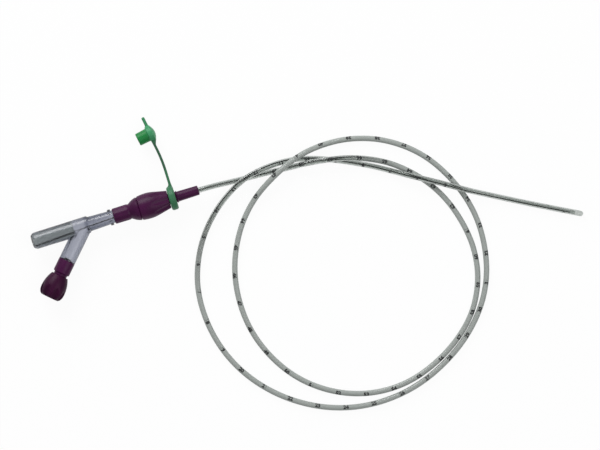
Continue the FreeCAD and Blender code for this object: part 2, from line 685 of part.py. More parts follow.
seat = number_of(TUBE_SEAT)
free_route = [place_of(*point) for point in TUBE_ROUTE]
tube_route = [on_axis(seat), on_axis(seat + EXIT_RUN)] + free_route
tube_tip = tube_route[-1]
tip_way = (tube_route[-1] - tube_route[-2]).normalize()
tube_route = moved_back(tube_route, size("tube_radius"))
tube_bar, tube_wire, tube_radii = swept(tube_route, size("tube_radius"))
lumen_bar, _, _ = swept(moved_back(tube_route, size("tube_tip_wall")), size("lumen_radius"))
tip_dome = Part.makeSphere(size("tube_radius"), tube_route[-1], tip_way, 0, QUARTER_TURN, FULL_TURN)
tube_shape = tube_bar.fuse(tip_dome)
cuts = [lumen_bar]
for number, side in enumerate((1, -1)):
    eye_place = tube_tip - tip_way * (size("eye_first") + number * size("eye_spacing"))
    eye_way = tip_way.cross(UP).normalize() * side
    cuts.append(Part.makeCylinder(size("eye_radius"), size("tube_radius") + OVERRUN, eye_place, eye_way))
tube_shape = tube_shape.cut(cuts)
tube = solid_feature("feeding_tube", tube_shape)

stylet_route = [on_axis(-size("stylet_start"), -size("stylet_start_side")), on_axis(0)]
stylet_route += [on_axis(seat + EXIT_RUN)] + free_route
stylet_route = moved_back(stylet_route, size("stylet_tip_short"))
stylet_bar, stylet_wire, stylet_radii = swept(stylet_route, size("stylet_radius"))
stylet = solid_feature("stylet", stylet_bar)

doc.recompute()

# Everything is checked before anything is written
for item in doc.Objects:
    if "Invalid" in item.State or "Error" in item.State:
        raise RuntimeError(f"{item.Label} did not build: {item.State}")
pieces = [hub, tube, cap, outlet, y_body, port, port_cap, anchor, stylet]
for piece in pieces:
    if piece.Shape.isNull() or not piece.Shape.isValid():
        raise RuntimeError(f"{piece.Label} has no sound shape")

tube_section = math.pi * (size("tube_radius") ** 2 - size("lumen_radius") ** 2)
stylet_section = math.pi * size("stylet_radius") ** 2
for name, shape, section, wire, radii in (
        ("tube", tube.Shape, tube_section, tube_wire, tube_radii),
        ("stylet", stylet.Shape, stylet_section, stylet_wire, stylet_radii)):
    print(f"{name}: length {wire.Length:.1f}, volume {shape.Volume:.1f}, "
          f"section times length {section * wire.Length:.1f}")
    print(f"{name} radii: " + " ".join(f"{radius:.0f}" for radius in radii))

os.makedirs("parts", exist_ok=True)
for piece in pieces:
    box = piece.Shape.BoundBox
    print(f"{piece.Label}: {len(piece.Shape.Solids)} solid, volume {piece.Shape.Volume:.2f}, "
          f"x {box.XMin:.2f} {box.XMax:.2f} y {box.YMin:.2f} {box.YMax:.2f} "
          f"z {box.ZMin:.2f} {box.ZMax:.2f}")
    piece.Shape.exportStep(f"parts/{piece.Label}.step")
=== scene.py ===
"""The looks of an infant feeding tube lying in two loops, with its hub, cap, Y connector and stylet.

Shapes are worked out in millimetres along the hub's axis, counted from the hub's mouth, plus towards
the tube, and are placed in metres in the part's frame.
"""
import json
import math

import bmesh
import bpy
from mathutils import Matrix, Vector


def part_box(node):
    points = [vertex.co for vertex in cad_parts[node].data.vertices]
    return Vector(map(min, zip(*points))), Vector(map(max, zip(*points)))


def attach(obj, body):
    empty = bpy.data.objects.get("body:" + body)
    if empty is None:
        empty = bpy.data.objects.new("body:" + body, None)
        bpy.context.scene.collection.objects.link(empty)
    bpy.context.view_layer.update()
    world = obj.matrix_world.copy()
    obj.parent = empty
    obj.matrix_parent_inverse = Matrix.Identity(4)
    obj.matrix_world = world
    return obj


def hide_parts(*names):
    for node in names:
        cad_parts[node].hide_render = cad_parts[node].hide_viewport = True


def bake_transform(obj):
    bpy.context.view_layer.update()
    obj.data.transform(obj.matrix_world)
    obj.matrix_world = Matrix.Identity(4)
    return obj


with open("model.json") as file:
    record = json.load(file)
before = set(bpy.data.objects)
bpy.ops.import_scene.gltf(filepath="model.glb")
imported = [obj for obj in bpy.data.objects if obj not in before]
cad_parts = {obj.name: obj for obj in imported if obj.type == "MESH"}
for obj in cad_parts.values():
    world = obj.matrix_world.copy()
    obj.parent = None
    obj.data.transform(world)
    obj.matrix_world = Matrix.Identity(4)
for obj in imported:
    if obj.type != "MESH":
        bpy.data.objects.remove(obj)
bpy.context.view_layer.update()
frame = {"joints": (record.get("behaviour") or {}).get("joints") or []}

MM = 0.001
UP = Vector((0, 0, 1))

# The hub's mouth, from the frame: its joint lies on the axis, and its own face is its lowest x
swivel = next(joint for joint in frame["joints"] if joint["name"] == "cap_swivel")
MOUTH = Vector((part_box("tube_hub")[0].x, swivel["pos_m"][1], swivel["pos_m"][2])) / MM
port_slide = next(joint for joint in frame["joints"] if joint["name"] == "port_cap_pull")
SIDE_WAY = Vector(port_slide["axis"])
JUNCTION = -20.6
# How far a cutter runs past what it cuts
OVERRUN = 1
# A smaller radius than this is a single point on the axis
ON_AXIS = 1e-6


def hub_place():
    """From millimetres along the hub's axis to metres in the part's frame."""
    return Matrix.Scale(MM, 4) @ Matrix.Translation(MOUTH)


def side_place():
    """The same for the side branch, counted from the junction outwards."""
    turn = Matrix.Rotation(math.atan2(SIDE_WAY.y, SIDE_WAY.x), 4, "Z")
    return Matrix.Scale(MM, 4) @ Matrix.Translation(MOUTH + Vector((JUNCTION, 0, 0))) @ turn


# Meshes
def new_object(name, data):
    piece = bpy.data.objects.new(name, data)
    bpy.context.scene.collection.objects.link(piece)
    return piece


def mesh_of(form, name):
    """The form as a mesh. The form itself is freed."""
    mesh = bpy.data.meshes.new(name)
    form.to_mesh(mesh)
    form.free()
    return mesh


def final_mesh(piece):
    """The mesh that an object, a curve or a text comes out as."""
    depsgraph = bpy.context.evaluated_depsgraph_get()
    return bpy.data.meshes.new_from_object(piece.evaluated_get(depsgraph))


def bridged(form, ring, follower):
    """Faces from one ring of points to the next. Either may be a single point on the axis."""
    count = max(len(ring), len(follower))
    for number in range(count if count > 1 else 0):
        after = (number + 1) % count
        if len(ring) == 1:
            form.faces.new((ring[0], follower[after], follower[number]))
        elif len(follower) == 1:
            form.faces.new((ring[number], ring[after], follower[0]))
        else:
            form.faces.new((ring[number], ring[after], follower[after], follower[number]))


def corner_arc(before, corner, after, radius, steps=5):
    """The points of a rounded corner of an outline."""
    before, corner, after = (Vector(point) for point in (before, corner, after))
    way_in, way_out = (corner - before).normalized(), (after - corner).normalized()
    half = way_in.angle(way_out) / 2
    trim = radius * math.tan(half)
    start, end = corner - way_in * trim, corner + way_out * trim
    inward = (way_out - way_in).normalized()
    centre = corner + inward * (radius / math.cos(half))
    points = []
    for step in range(steps + 1):
        point = start.lerp(end, step / steps)
        points.append(centre + (point - centre).normalized() * radius)
    return points


def rounded(outline):
    """An outline whose corners may carry a radius as a third number: (along, out, radius)."""
    points = []
    for index, corner in enumerate(outline):
        if len(corner) == 2:
            points.append(Vector(corner))
            continue
        before, after = outline[index - 1][:2], outline[(index + 1) % len(outline)][:2]
        points.extend(corner_arc(before, corner[:2], after, corner[2]))
    return points


def bulge(start, end, rise, steps=14):
    """Points of an arc from start to end that rises outwards at its middle, both ends included."""
    start, end = Vector(start), Vector(end)
    chord = end - start
    radius = ((chord.length / 2) ** 2 + rise ** 2) / (2 * rise)
    outwards = Vector((-chord.y, chord.x)).normalized()
    centre = (start + end) / 2 + outwards * (rise - radius)
    half = math.asin(min(1, chord.length / 2 / radius))
    first = start - centre
    points = []
    for step in range(steps + 1):
        turn = -2 * half * step / steps
        cosine, sine = math.cos(turn), math.sin(turn)
        turned = Vector((first.x * cosine - first.y * sine, first.x * sine + first.y * cosine))
        points.append((centre + turned)[:])
    return points


def dense(points, step):
    """The same outline with points no further apart than a step."""
    result = []
    for index, point in enumerate(points):
        result.append(point)
        if index + 1 < len(points):
            follower = points[index + 1]
            cuts = int((follower - point).length / step)
            result.extend(point.lerp(follower, cut / (cuts + 1)) for cut in range(1, cuts + 1))
    return result


def lathe_mesh(name, outline, place, segments=96, shape=None, step=None, closed=False):
    """A turned form round the X axis. shape(along, radius, angle) may change the radius."""
    points = rounded(outline)
    if step:
        points = dense(points, step)
    form = bmesh.new()
    rings = []
    for along, radius in points:
        if radius < ON_AXIS:
            rings.append([form.verts.new((along, 0, 0))])
            continue
        ring = []
        for number in range(segments):
            angle = 2 * math.pi * number / segments
            out = shape(along, radius, angle) if shape else radius
            ring.append(form.verts.new((along, out * math.cos(angle), out * math.sin(angle))))
        rings.append(ring)
    pairs = list(zip(rings, rings[1:]))
    if closed:
        pairs.append((rings[-1], rings[0]))
    for ring, follower in pairs:
        bridged(form, ring, follower)
    bmesh.ops.recalc_face_normals(form, faces=form.faces)
    mesh = mesh_of(form, name)
    mesh.transform(place)
    return mesh


def smooth(piece, angle=35):
    piece.data.shade_smooth()
    piece.data.set_sharp_from_angle(angle=math.radians(angle))
    return piece


def lathe(name, outline, place, **choices):
    return smooth(new_object(name, lathe_mesh(name, outline, place, **choices)))


def apply_modifiers(piece):
    mesh = final_mesh(piece)
    piece.modifiers.clear()
    piece.data = mesh


def boolean(piece, others, operation):
    """Joins the others to the piece or cuts them out of it, and removes them."""
    for other in others:
        cut = piece.modifiers.new(operation, "BOOLEAN")
        cut.operation = operation
        cut.solver = "EXACT"
        cut.object = other
        apply_modifiers(piece)
        bpy.data.objects.remove(other)


def closed_off(piece, way):
    """The piece with its open edges closed: by faces over its holes, or a band between two rims."""
    form = bmesh.new()
    form.from_mesh(piece.data)
    open_edges = [edge for edge in form.edges if edge.is_boundary]
    if open_edges:
        way(form, edges=open_edges)
        bmesh.ops.recalc_face_normals(form, faces=form.faces)
    form.to_mesh(piece.data)
    form.free()
    return piece


def joined(name, meshes):
    """Several meshes as one object."""
    form = bmesh.new()
    for mesh in meshes:
        form.from_mesh(mesh)
    return new_object(name, mesh_of(form, name))


# Materials: how fine their noises are, and how far the mottled and toned colours drift
COLOR_DETAIL, SURFACE_DETAIL = 3.0, 6.0
MOTTLE_LOW, MOTTLE_HIGH = 0.35, 0.65
TONE_DRIFT = 0.06
# The meshes' own attributes that the toned colours follow
HAZE = "haze"
TONE_AND_SHADE = "tone"
# The green of the cap, from its strap, darkened as painted shade, to its deep green plug
GREEN_TONES_AND_SHADE = [(0.0, (0.030, 0.105, 0.055, 1)), (0.3, (0.040, 0.165, 0.078, 1)),
               (0.6, (0.052, 0.290, 0.125, 1)), (1.0, (0.010, 0.205, 0.045, 1))]
# The grey of the tube, from clear to milky, and how much light goes through at either end
TUBE_TONES = [(0.0, (0.50, 0.53, 0.51, 1)), (1.0, (0.39, 0.42, 0.40, 1))]
TUBE_CLEARNESS = (0.97, 0.12)


def shader_of(made):
    return made.node_tree.nodes["Principled BSDF"]


def output_of(made):
    return made.node_tree.nodes["Material Output"]


def material(name, roughness, color=(0.8, 0.8, 0.8, 1), **values):
    made = bpy.data.materials.new(name)
    made.use_nodes = True
    shader = shader_of(made)
    shader.inputs["Base Color"].default_value = color
    shader.inputs["Roughness"].default_value = roughness
    for socket, value in values.items():
        shader.inputs[socket.replace("_", " ").title().replace("Ior", "IOR")].default_value = value
    return made


def node(made, kind, **inputs):
    item = made.node_tree.nodes.new(kind)
    for socket, value in inputs.items():
        item.inputs[socket.replace("_", " ").title()].default_value = value
    return item


def link(made, source, output, target, socket):
    made.node_tree.links.new(source.outputs[output], target.inputs[socket])


def noise_over(made, scale, detail):
    """Noise laid in the object's own space."""
    place = node(made, "ShaderNodeTexCoord")
    noise = node(made, "ShaderNodeTexNoise", scale=scale, detail=detail)
    link(made, place, "Object", noise, "Vector")
    return noise


def color_ramp(made, tones):
    """A ramp through (position, colour) pairs that sets the base colour."""
    ramp = node(made, "ShaderNodeValToRGB")
    for position, _ in tones[1:-1]:
        ramp.color_ramp.elements.new(position)
    for element, (position, color) in zip(ramp.color_ramp.elements, tones):
        element.position, element.color = position, color
    link(made, ramp, "Color", shader_of(made), "Base Color")
    return ramp


def mottled(made, dark, light, scale):
    """A colour that drifts between two tones, as moulded plastic does."""
    ramp = color_ramp(made, [(MOTTLE_LOW, dark), (MOTTLE_HIGH, light)])
    link(made, noise_over(made, scale, COLOR_DETAIL), "Fac", ramp, "Fac")
    return made


def toned(made, attribute, tones, scale):
    """A colour that follows the mesh's own attribute through the tones, with a slow drift."""
    source = node(made, "ShaderNodeAttribute")
    source.attribute_name = attribute
    drift = node(made, "ShaderNodeMapRange", to_min=-TONE_DRIFT, to_max=TONE_DRIFT)
    drifted = node(made, "ShaderNodeMath")
    link(made, noise_over(made, scale, COLOR_DETAIL), "Fac", drift, "Value")
    link(made, source, "Fac", drifted, 0)
    link(made, drift, "Result", drifted, 1)
    link(made, drifted, "Value", color_ramp(made, tones), "Fac")
    return source


def rough_and_bumpy(made, scale, strength, distance, low, high):
    """Fine surface unevenness: a bump and a roughness that follow the same noise."""
    noise = noise_over(made, scale, SURFACE_DETAIL)
    spread = node(made, "ShaderNodeMapRange", to_min=low, to_max=high)
    bump = node(made, "ShaderNodeBump", strength=strength, distance=distance)
    link(made, noise, "Fac", spread, "Value")
    link(made, spread, "Result", shader_of(made), "Roughness")
    link(made, noise, "Fac", bump, "Height")
    link(made, bump, "Normal", shader_of(made), "Normal")
    return made


def purple_plastic():
    made = material("purple_plastic", 0.4, specular_ior_level=0.2)
    mottled(made, (0.044, 0.002, 0.036, 1), (0.062, 0.004, 0.050, 1), scale=160.0)
    return rough_and_bumpy(made, scale=2600.0, strength=0.12, distance=0.00004, low=0.34, high=0.48)


def dark_purple_plastic():
    made = material("dark_purple_plastic", 0.42, specular_ior_level=0.13)
    mottled(made, (0.024, 0.0015, 0.018, 1), (0.044, 0.003, 0.030, 1), scale=180.0)
    return rough_and_bumpy(made, scale=2600.0, strength=0.15, distance=0.00005, low=0.36, high=0.5)


def green_plastic():
    """One plastic whose tone follows the mesh's own tone, with a slow drift; the strap's darker tone
    is painted shade.
    """
    made = material("green_plastic", 0.4, specular_ior_level=0.25)
    toned(made, TONE_AND_SHADE, GREEN_TONES_AND_SHADE, scale=170.0)
    return rough_and_bumpy(made, scale=2400.0, strength=0.12, distance=0.00004, low=0.34, high=0.48)


def deepened(made, color, density):
    """Plastic that darkens with its own thickness; in the clear Y and its lugs the darkening is
    painted shade.
    """
    depth = node(made, "ShaderNodeVolumeAbsorption", color=color, density=density)
    link(made, depth, "Volume", output_of(made), "Volume")


def clear_plastic():
    made = material("clear_plastic", 0.1, (0.96, 0.96, 0.98, 1), transmission_weight=1.0,
                    ior=1.48, specular_ior_level=0.2)
    # Its grey absorption is mostly painted shade, for the shade and darker backdrop seen through its
    # walls, over a faint tint of its own
    deepened(made, (0.57, 0.59, 0.65, 1), density=1000.0)
    return rough_and_bumpy(made, scale=300.0, strength=0.05, distance=0.00003, low=0.2, high=0.28)


def lug_plastic():
    """The Y's plastic in its lugs, darkened as painted shade so that they show as dark dots."""
    made = material("lug_plastic", 0.1, (0.5, 0.5, 0.52, 1), transmission_weight=0.9, ior=1.48)
    # Nearly black absorption: painted shade for the darkness that refraction gives the clear lugs
    deepened(made, (0.05, 0.05, 0.06, 1), density=1500.0)
    return rough_and_bumpy(made, scale=300.0, strength=0.08, distance=0.00005, low=0.08, high=0.15)


def filling_resin():
    made = material("filling_resin", 0.12, (0.93, 0.96, 0.92, 1), transmission_weight=0.92,
                    ior=1.46)
    deepened(made, (0.89, 0.90, 0.88, 1), density=1000.0)
    return rough_and_bumpy(made, scale=500.0, strength=0.1, distance=0.00005, low=0.1, high=0.2)


def tube_plastic():
    """Clear near the hub and the tip, milkier in the loops, by the mesh's own haze."""
    made = material("tube_plastic", 0.1, ior=1.4, specular_ior_level=0.3)
    haze = toned(made, HAZE, TUBE_TONES, scale=60.0)
    clear, hazy = TUBE_CLEARNESS
    clearness = node(made, "ShaderNodeMapRange", to_min=clear, to_max=hazy)
    link(made, haze, "Fac", clearness, "Value")
    link(made, clearness, "Result", shader_of(made), "Transmission Weight")
    return rough_and_bumpy(made, scale=900.0, strength=0.03, distance=0.00001, low=0.02, high=0.05)


def wire_steel():
    made = material("wire_steel", 0.35, metallic=1.0)
    mottled(made, (0.008, 0.01, 0.01, 1), (0.025, 0.028, 0.028, 1), scale=400.0)
    return rough_and_bumpy(made, scale=3000.0, strength=0.1, distance=0.00002, low=0.3, high=0.45)


def print_ink():
    made = material("print_ink", 0.5)
    return mottled(made, (0.006, 0.007, 0.008, 1), (0.02, 0.022, 0.024, 1), scale=900.0)


PURPLE = purple_plastic()
DARK_PURPLE = dark_purple_plastic()
GREEN = green_plastic()
CLEAR_WITH_SHADE = clear_plastic()
LUG_SHADE = lug_plastic()
RESIN = filling_resin()
TUBE = tube_plastic()
STEEL = wire_steel()
INK = print_ink()


def finish_piece(piece, made, slot, body, *nodes):
    """Material, body and the nodes that the piece stands for; the slot is not used."""
    piece.data.materials.clear()
    piece.data.materials.append(made)
    if nodes:
        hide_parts(*nodes)
    if body:
        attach(piece, body)


def between(table, place):
    """The value at a place, from a table of (place, value) pairs."""
    for (low, low_value), (high, high_value) in zip(table, table[1:]):
        if place <= high:
            return low_value + (high_value - low_value) * (place - low) / (high - low)
    return table[-1][1]


def unit(value):
    """The value, held between 0 and 1."""
    return min(max(value, 0), 1)


def soft_least(first, second, blend):
    """The smaller of two numbers, rounded off where they are closer than the blend."""
    near = max(blend - abs(first - second), 0) / blend
    return min(first, second) - near * near * blend / 4


def fluted(count, centre, floor, cut_radius, sweep, first_turn=0.0, blend=0.12):
    """Long shallow flutes: a round cutter whose depth follows a wide arc along the axis."""
    def shape(along, radius, angle):
        middle = floor + cut_radius + (along - centre) ** 2 / (2 * (sweep + cut_radius))
        pitch = 2 * math.pi / count
        off = (angle - first_turn + pitch / 2) % pitch - pitch / 2
        inside = cut_radius ** 2 - (middle * math.sin(off)) ** 2
        if inside <= 0:
            return radius
        return soft_least(radius, middle * math.cos(off) - math.sqrt(inside), blend)
    return shape


# Hub
HUB_RADIUS = 4.63
HUB_MOUTH_RADIUS = 4.32
HUB_BELLY = 6.4
HUB_BODY = 10.9
HUB_TAIL_RADIUS = 3.34
HUB_FLUTES, FLUTE_DEPTH, FLUTE_RADIUS, FLUTE_LEAD, FLUTE_SWEEP = 8, 0.3, 1.9, 7.5, 40
# The flutes cut the barrel's skin only, outside this radius
HUB_SKIN = 3.0
NECK_RADIUS = 1.9
COLLAR_START, COLLAR_END, COLLAR_RADIUS = 13.8, 14.25, 2.45
SLEEVE_END, SLEEVE_ROOT_RADIUS, SLEEVE_TIP_RADIUS = 22.0, 1.84, 1.71
SOCKET_RADIUS, SOCKET_SLOPE, SOCKET_DEPTH = 2.45, 0.03, 8.0
TUBE_RADIUS, LUMEN_RADIUS = 1.0, 0.6
TUBE_SEAT = 16.0
GRIP_RADIUS = TUBE_RADIUS + 0.05
FINE_STEP = 0.25


def build_hub():
    floor_depth = FLUTE_DEPTH + FLUTE_LEAD ** 2 / (2 * FLUTE_SWEEP)
    flutes = fluted(count=HUB_FLUTES, centre=HUB_BODY + FLUTE_LEAD,
                    floor=HUB_TAIL_RADIUS - floor_depth, cut_radius=FLUTE_RADIUS, sweep=FLUTE_SWEEP)

    def shape(along, radius, angle):
        skin = radius > HUB_SKIN and along < HUB_BODY + 0.01
        return flutes(along, radius, angle) if skin else radius

    barrel = bulge((0, HUB_MOUTH_RADIUS), (HUB_BELLY, HUB_MOUTH_RADIUS),
                   rise=HUB_RADIUS - HUB_MOUTH_RADIUS)
    outline = [(0, SOCKET_RADIUS), (0, HUB_MOUTH_RADIUS, 0.3)] + barrel[1:]
    outline += [(HUB_BODY, HUB_TAIL_RADIUS, 0.12), (HUB_BODY, NECK_RADIUS, 0.15),
                (COLLAR_START, NECK_RADIUS, 0.1), (COLLAR_START, COLLAR_RADIUS, 0.12),
                (COLLAR_END, SLEEVE_ROOT_RADIUS, 0.15), (SLEEVE_END, SLEEVE_TIP_RADIUS, 0.3),
                (SLEEVE_END, GRIP_RADIUS, 0.1), (TUBE_SEAT, GRIP_RADIUS), (TUBE_SEAT, LUMEN_RADIUS),
                (SOCKET_DEPTH, LUMEN_RADIUS),
                (SOCKET_DEPTH, SOCKET_RADIUS - SOCKET_SLOPE * SOCKET_DEPTH)]
    hub = lathe("hub", outline, hub_place(), segments=144, shape=shape, step=FINE_STEP, closed=True)
    finish_piece(hub, PURPLE, "hub_plastic", "hub", "tube_hub")


build_hub()

# Outlet connector: its grip, its shoulder before the hub's mouth, and its male taper in the socket
OUTLET_END, GRIP_FRONT, OUTLET_WAIST, FACE_GAP = 9.64, 4.3, 3.6, 0.1
GRIP_REAR_RADIUS, GRIP_FRONT_RADIUS, WAIST_RADIUS, SHOULDER_RADIUS = 2.83, 2.88, 2.65, 4.28
FACE_RADIUS = 4.0
# The grip's fine flutes cut its skin only, outside this radius
GRIP_SKIN = 2.4
TAPER_LENGTH, TAPER_RADIUS, TAPER_BORE_RADIUS = 4.0, SOCKET_RADIUS - 0.1, 0.9
# Where the Y's nose ends in the grip, and the grip's bore round it
NOSE_SEAT, NOSE_SEAT_RADIUS = 4.68, 2.17


def build_outlet():
    flutes = fluted(count=12, centre=-(OUTLET_END + GRIP_FRONT) / 2,
                    floor=GRIP_FRONT_RADIUS - 0.1, cut_radius=0.8, sweep=120)

    def shape(along, radius, angle):
        skin = along < -OUTLET_WAIST and radius > GRIP_SKIN
        return flutes(along, radius, angle) if skin else radius

    shoulder = bulge((-OUTLET_WAIST, WAIST_RADIUS), (-FACE_GAP, SHOULDER_RADIUS), rise=0.236)
    outline = [(-OUTLET_END, GRIP_SKIN), (-OUTLET_END, GRIP_REAR_RADIUS, 0.42),
               (-GRIP_FRONT, GRIP_FRONT_RADIUS, 0.15)] + shoulder[:-1]
    outline += [(-FACE_GAP, FACE_RADIUS), (-FACE_GAP, TAPER_RADIUS),
                (TAPER_LENGTH, TAPER_RADIUS - SOCKET_SLOPE * TAPER_LENGTH, 0.15),
                (TAPER_LENGTH, TAPER_BORE_RADIUS), (-NOSE_SEAT, TAPER_BORE_RADIUS),
                (-NOSE_SEAT, NOSE_SEAT_RADIUS)]
    outlet = lathe("outlet", outline, hub_place(), segments=144, shape=shape, step=FINE_STEP,
                   closed=True)
    finish_piece(outlet, PURPLE, "hub_plastic", "y_set", "outlet_connector")


build_outlet()

# Y connector
BRANCH_REAR, BRANCH_FRONT, NOSE_ROOT, NOSE_END = -40.3, -19.1, -18.7, -4.7
BRANCH_REAR_RADIUS, BRANCH_FRONT_RADIUS, NOSE_ROOT_RADIUS, NOSE_TIP_RADIUS = 3.0, 3.1, 2.65, 2.15
BRANCH_BORE_RADIUS, BRANCH_BORE_FRONT_RADIUS, NOSE_BORE_RADIUS = 2.1, 2.0, 1.1
BRANCH_BORE_THROAT = -19.4
SIDE_RADIUS, SIDE_BORE_RADIUS, SIDE_LENGTH = 2.98, 1.95, 13.9
LUG_PLACE, LUG_RADIUS, LUG_ROOT, LUG_REACH = -10.8, 0.55, 1.9, 2.9


def build_y():
    main = lathe("clear_y", [
        (BRANCH_REAR, 0), (BRANCH_REAR, BRANCH_REAR_RADIUS, 1.9),
        (BRANCH_FRONT, BRANCH_FRONT_RADIUS, 0.15), (NOSE_ROOT, NOSE_ROOT_RADIUS, 0.2),
        (NOSE_END, NOSE_TIP_RADIUS), (NOSE_END, 0)],
        hub_place(), segments=128)
    side = lathe("clear_side", [
        (0, 0), (0, SIDE_RADIUS), (SIDE_LENGTH, SIDE_RADIUS), (SIDE_LENGTH, 0)],
        side_place(), segments=128)
    crosswise = Matrix.Rotation(math.pi / 2, 4, "Z")
    lug_place = hub_place() @ Matrix.Translation((LUG_PLACE, 0, 0)) @ crosswise
    for way in (-1, 1):
        lug = lathe("lug", [(way * LUG_ROOT, 0), (way * LUG_ROOT, LUG_RADIUS),
                            (way * LUG_REACH, LUG_RADIUS, 0.15), (way * LUG_REACH, 0)],
                    lug_place, segments=32)
        finish_piece(lug, LUG_SHADE, "clear_plastic", "y_set", "y_connector")
    main_bore = lathe("clear_bore", [
        (BRANCH_REAR - OVERRUN, 0), (BRANCH_REAR - OVERRUN, BRANCH_BORE_RADIUS),
        (JUNCTION, BRANCH_BORE_FRONT_RADIUS), (BRANCH_BORE_THROAT, NOSE_BORE_RADIUS),
        (NOSE_END + OVERRUN, NOSE_BORE_RADIUS), (NOSE_END + OVERRUN, 0)],
        hub_place(), segments=96)
    side_bore = lathe("clear_side_bore", [
        (0, 0), (0, SIDE_BORE_RADIUS), (SIDE_LENGTH + OVERRUN, SIDE_BORE_RADIUS),
        (SIDE_LENGTH + OVERRUN, 0)],
        side_place(), segments=96)
    boolean(main, [side], "UNION")
    boolean(main, [main_bore, side_bore], "DIFFERENCE")
    closed_off(main, bmesh.ops.holes_fill)
    smooth(main, 40)
    finish_piece(main, CLEAR_WITH_SHADE, "clear_plastic", "y_set", "y_connector")


build_y()

# Side port. Its spigot and the filling wet the clear walls: overlapping them a little leaves no air.
WETTING = 0.015
SPIGOT_TIP, SPIGOT_EDGE = SIDE_LENGTH - 0.85, SIDE_LENGTH - 0.2
PORT_START, PORT_END, PORT_RADIUS, PORT_BORE_RADIUS = SIDE_LENGTH + 0.02, 18.9, 3.0, 0.9
# The collar behind the cap's mouth, and the neck that the cap covers
PORT_COLLAR_END, PORT_COLLAR_RADIUS = 19.7, 2.45
PORT_NECK_END, PORT_NECK_ROOT_RADIUS, PORT_NECK_TIP_RADIUS = 25.0, 2.22, 2.02


def build_port():
    spigot = SIDE_BORE_RADIUS + WETTING
    dome = bulge((SPIGOT_TIP, 0), (SPIGOT_EDGE, spigot), rise=0.16, steps=10)
    outline = [(SPIGOT_TIP + 0.05, PORT_BORE_RADIUS)]
    outline += [point for point in dome if point[1] > PORT_BORE_RADIUS + 0.05]
    outline += [(PORT_START, spigot), (PORT_START, PORT_RADIUS, 0.08), (PORT_END, PORT_RADIUS, 0.5),
                (PORT_END, PORT_COLLAR_RADIUS, 0.1),
                (PORT_COLLAR_END, PORT_COLLAR_RADIUS - 0.03, 0.1),
                (PORT_COLLAR_END + 0.05, PORT_NECK_ROOT_RADIUS),
                (PORT_NECK_END, PORT_NECK_TIP_RADIUS, 0.1), (PORT_NECK_END, PORT_BORE_RADIUS)]
    port = lathe("side_port", outline, side_place(), segments=96, closed=True)
    finish_piece(port, PURPLE, "hub_plastic", "y_set", "side_port_connector")


CAP_MOUTH, CAP_BELLY, CAP_RIM, CAP_END = 19.8, 25.73, 27.9, 28.4
CAP_MOUTH_RADIUS, CAP_BELLY_RADIUS, CAP_RIM_RADIUS, CAP_END_RADIUS = 3.05, 4.44, 3.8, 3.2
CAP_LOBES = 8
# The lobes shape the cap's skin only, outside this radius
CAP_SKIN = 2.6
# The dish in the cap's end, and the cup's inside
DISH_PLACE, DISH_RADIUS = CAP_END - 0.3, 2.3
CUP_DEPTH, CUP_MOUTH_RADIUS, CUP_FLOOR_RADIUS = 25.4, 2.33, 2.1


def build_port_cap():
    """A cup with eight lobes that grow towards its dished end."""
    lobes = fluted(count=CAP_LOBES, centre=CAP_END + 1.6, floor=CAP_BELLY_RADIUS - 1.35,
                   cut_radius=1.3, sweep=12, first_turn=math.pi / CAP_LOBES, blend=0.25)

    def shape(along, radius, angle):
        return lobes(along, radius, angle) if radius > CAP_SKIN else radius

    belly, rim = (CAP_BELLY, CAP_BELLY_RADIUS), (CAP_RIM, CAP_RIM_RADIUS)
    outline = [(CAP_MOUTH, CUP_MOUTH_RADIUS), (CAP_MOUTH, 3.0)]
    outline += bulge((CAP_MOUTH, CAP_MOUTH_RADIUS), belly, rise=0.4)
    outline += bulge(belly, rim, rise=0.16)[1:-1]
    outline += [(*rim, 0.3), (CAP_END, CAP_END_RADIUS, 0.15), (DISH_PLACE, DISH_RADIUS, 0.3),
                (DISH_PLACE, 0), (CUP_DEPTH, 0), (CUP_DEPTH, CUP_FLOOR_RADIUS)]
    cap = lathe("port_cap", outline, side_place(), segments=192, shape=shape, step=0.15, closed=True)
    finish_piece(cap, DARK_PURPLE, "port_cap_plastic", "side_cap", "side_port_cap")


build_port()
build_port_cap()

# Filling in the main branch, with a front that dips a little towards its middle
FILLING_REAR, FILLING_FRONT = -39.3, -24.5
FILLING_FRONT_RADIUS, FILLING_DIP_RADIUS = 2.02, 1.2


def build_filling():
    filling = lathe("filling", [
        (FILLING_REAR, 0), (FILLING_REAR, BRANCH_BORE_RADIUS + WETTING, 0.3),
        (FILLING_FRONT, FILLING_FRONT_RADIUS + WETTING), (FILLING_FRONT - 0.1, FILLING_DIP_RADIUS),
        (FILLING_FRONT - 0.15, 0)],
        hub_place(), segments=96)
    finish_piece(filling, RESIN, "anchor_filling", "y_set", "stylet_anchor")


build_filling()

# Tethered cap: a ring on the hub's neck, a strap, and a head with a hollow plug, a flange and a tab
RING_START, RING_WIDTH = HUB_BODY + 0.3, 2.3
RING_LEAD = 0.12
RING_RADIUS, RING_EDGE_RADIUS, RING_BORE_RADIUS = 4.3, 3.9, NECK_RADIUS + 0.15
RING_BEVEL = 0.4
# The strap leaves the ring to one side of its middle
STRAP_OFFSET = 0.45
STRAP_PLACE = RING_START + RING_WIDTH / 2 + STRAP_OFFSET
HALF_STRAP, HALF_THICKNESS = 0.475, 0.98
STRAP_STRAIGHT_END = 9.8
STRAP_BEND = 55.0
STRAP_TURN = math.radians(10.0)
STRAP_STEPS = 12
HEAD_REACH = 5.05
# The head along its own axis, from the plug's end to the crown
PLUG_END, PLUG_BORE_TOP, FLANGE_START, FLANGE_END, CROWN = -4.55, -0.95, -0.5, 1.4, 2.25
PLUG_BORE_RADIUS, PLUG_RADIUS, PLUG_ROOT_RADIUS = 1.45, 2.27, 2.39
FLANGE_RADIUS, CROWN_RADIUS = 2.95, 2.65
